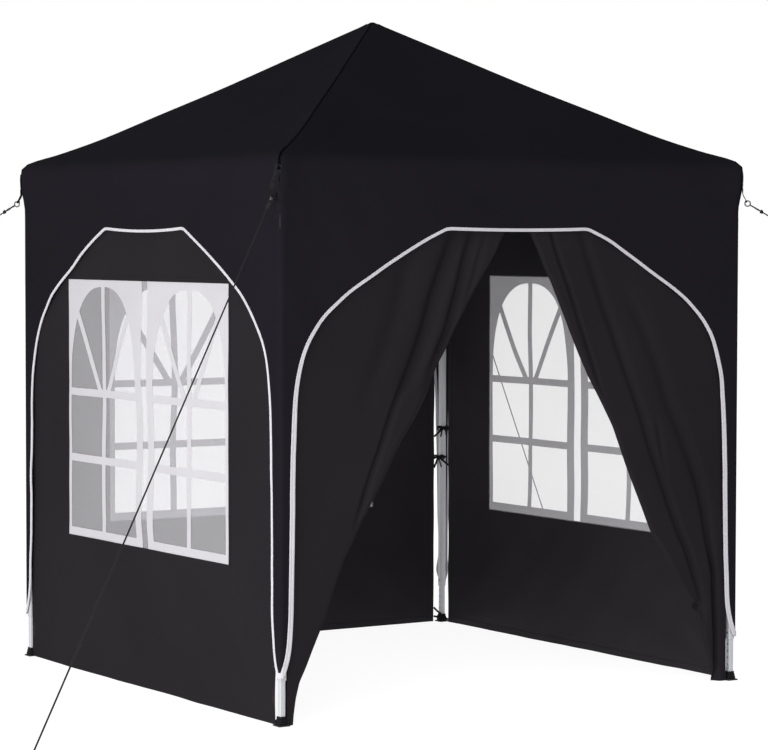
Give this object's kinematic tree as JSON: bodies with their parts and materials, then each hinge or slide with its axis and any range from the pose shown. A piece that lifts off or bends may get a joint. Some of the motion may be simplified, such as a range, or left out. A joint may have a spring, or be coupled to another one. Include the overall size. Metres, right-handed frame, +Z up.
{
  "type": "pop-up party tent",
  "caption": "Square pop-up party tent: pyramid roof over arched sides, three window walls, a door drawn open in two halves, telescopic legs and corner guy ropes.",
  "frame": {"origin": "on the ground at the middle of the tent, midway between the four legs", "axes": "+Z up, the door faces -Y, the back window wall faces +Y, the left wall is at -X and the right wall at +X"},
  "size_m": [6.2406, 6.2406, 2.464],
  "materials": {
    "cover_cloth": "matte coated polyester",
    "wall_cloth": "matte coated polyester, thinner",
    "edge_tape": "pale woven tape",
    "clear_film": "clear film with a white printed frame",
    "frame_tube": "pale powder coat",
    "black_plastic": "moulded",
    "webbing": "woven webbing with a steel ring",
    "guy_rope": "braided cord",
    "peg_steel": "bare steel"
  },
  "bodies": {
    "tent": {"back_arch_tape": "edge_tape", "back_left_bracket": "black_plastic", "back_left_guy_ring": "webbing", "back_left_guy_rope": "guy_rope", "back_left_peg": "peg_steel", "back_left_slider": "black_plastic", "back_left_upper_leg": "frame_tube", "back_right_bracket": "black_plastic", "back_right_guy_ring": "webbing", "back_right_guy_rope": "guy_rope", "back_right_peg": "peg_steel", "back_right_slider": "black_plastic", "back_right_upper_leg": "frame_tube", "back_roof": "cover_cloth", "back_skirt": "cover_cloth", "back_truss": "frame_tube", "back_wall": "wall_cloth", "back_window": "clear_film", "cross_truss": "frame_tube", "front_arch_tape": "edge_tape", "front_left_bracket": "black_plastic", "front_left_guy_ring": "webbing", "front_left_guy_rope": "guy_rope", "front_left_peg": "peg_steel", "front_left_slider": "black_plastic", "front_left_upper_leg": "frame_tube", "front_right_bracket": "black_plastic", "front_right_guy_ring": "webbing", "front_right_guy_rope": "guy_rope", "front_right_peg": "peg_steel", "front_right_slider": "black_plastic", "front_right_upper_leg": "frame_tube", "front_roof": "cover_cloth", "front_skirt": "cover_cloth", "front_truss": "frame_tube", "left_arch_tape": "edge_tape", "left_curtain": "wall_cloth", "left_roof": "cover_cloth", "left_skirt": "cover_cloth", "left_truss": "frame_tube", "left_wall": "wall_cloth", "left_window": "clear_film", "peak_pole": "frame_tube", "right_arch_tape": "edge_tape", "right_curtain": "wall_cloth", "right_roof": "cover_cloth", "right_skirt": "cover_cloth", "right_truss": "frame_tube", "right_wall": "wall_cloth", "right_window": "clear_film"},
    "front_left_leg_end": {"front_left_lower_leg": "frame_tube", "front_left_foot": "black_plastic"},
    "front_right_leg_end": {"front_right_lower_leg": "frame_tube", "front_right_foot": "black_plastic"},
    "back_right_leg_end": {"back_right_lower_leg": "frame_tube", "back_right_foot": "black_plastic"},
    "back_left_leg_end": {"back_left_lower_leg": "frame_tube", "back_left_foot": "black_plastic"}
  },
  "joints": [
    {"name": "front_left_leg_slide", "type": "slide", "parent": "tent", "child": "front_left_leg_end", "axis": [0, 0, 1], "range_m": [-0.25, 0.1]},
    {"name": "front_right_leg_slide", "type": "slide", "parent": "tent", "child": "front_right_leg_end", "axis": [0, 0, 1], "range_m": [-0.25, 0.1]},
    {"name": "back_right_leg_slide", "type": "slide", "parent": "tent", "child": "back_right_leg_end", "axis": [0, 0, 1], "range_m": [-0.25, 0.1]},
    {"name": "back_left_leg_slide", "type": "slide", "parent": "tent", "child": "back_left_leg_end", "axis": [0, 0, 1], "range_m": [-0.25, 0.1]}
  ]
}
